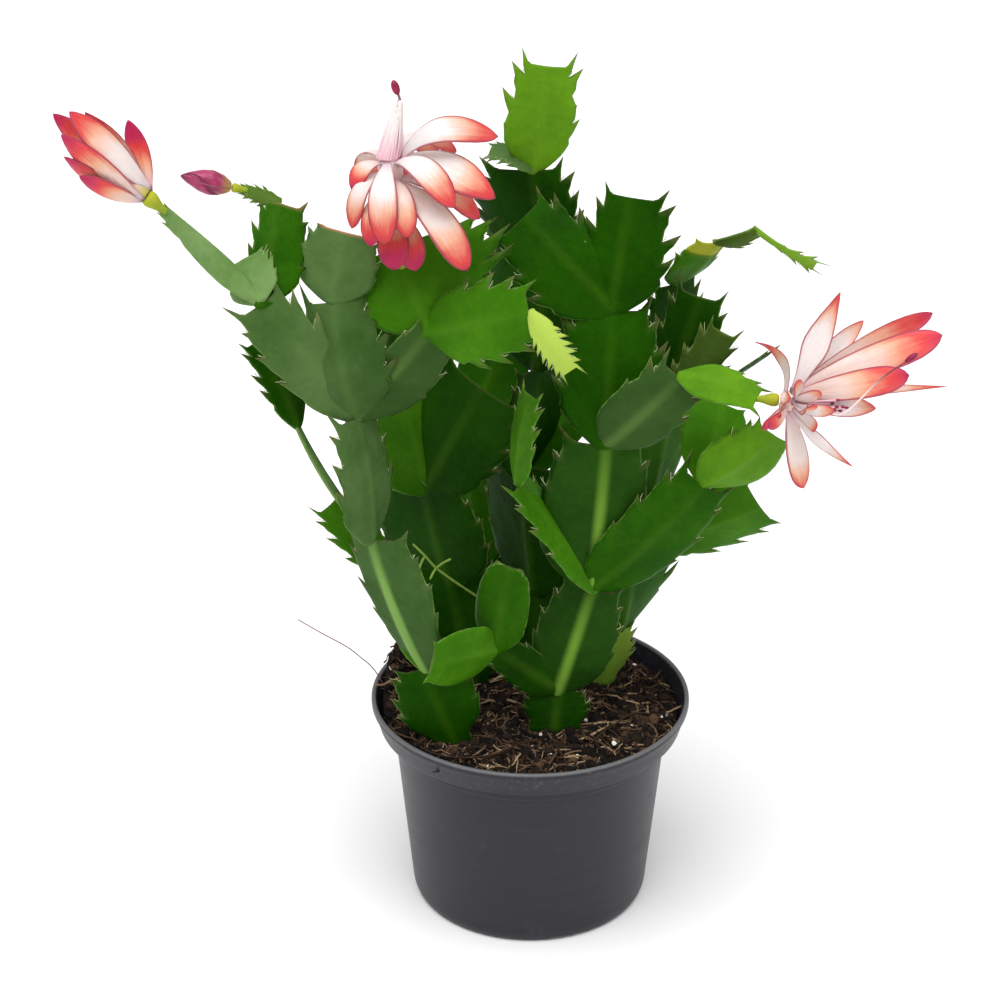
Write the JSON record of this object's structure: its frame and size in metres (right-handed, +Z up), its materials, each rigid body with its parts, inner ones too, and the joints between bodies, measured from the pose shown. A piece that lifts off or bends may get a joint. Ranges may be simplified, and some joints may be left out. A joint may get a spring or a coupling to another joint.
{
  "type": "potted christmas cactus",
  "caption": "Flowering Christmas cactus with flat toothed stem segments, layered pink blooms and a bud, standing in soil in a round tapered nursery pot.",
  "frame": {"origin": "middle of the pot's flat base, where it meets the table", "axes": "+Z up, +X to the right of the viewer who faces the plant, -Y towards that viewer"},
  "size_m": [0.2898, 0.1484, 0.331],
  "materials": {
    "pot_plastic": "satin",
    "soil": "matte",
    "leaf_green": "satin",
    "petal_pink": "satin",
    "bud_magenta": "satin",
    "stamen_white": "satin",
    "pistil_magenta": "satin"
  },
  "bodies": {
    "root": {"pot": "pot_plastic", "soil": "soil", "stem_left": "leaf_green", "stem_middle": "leaf_green", "stem_right": "leaf_green", "stem_back": "leaf_green", "stem_back_left": "leaf_green", "stem_back_right": "leaf_green", "stem_rear": "leaf_green", "bloom_top_petals": "petal_pink", "bloom_right_petals": "petal_pink", "bloom_left_petals": "petal_pink", "bud_petals": "bud_magenta", "bloom_top_stamens": "stamen_white", "bloom_right_stamens": "stamen_white", "bloom_top_pistil": "pistil_magenta", "bloom_right_pistil": "pistil_magenta"}
  },
  "joints": []
}
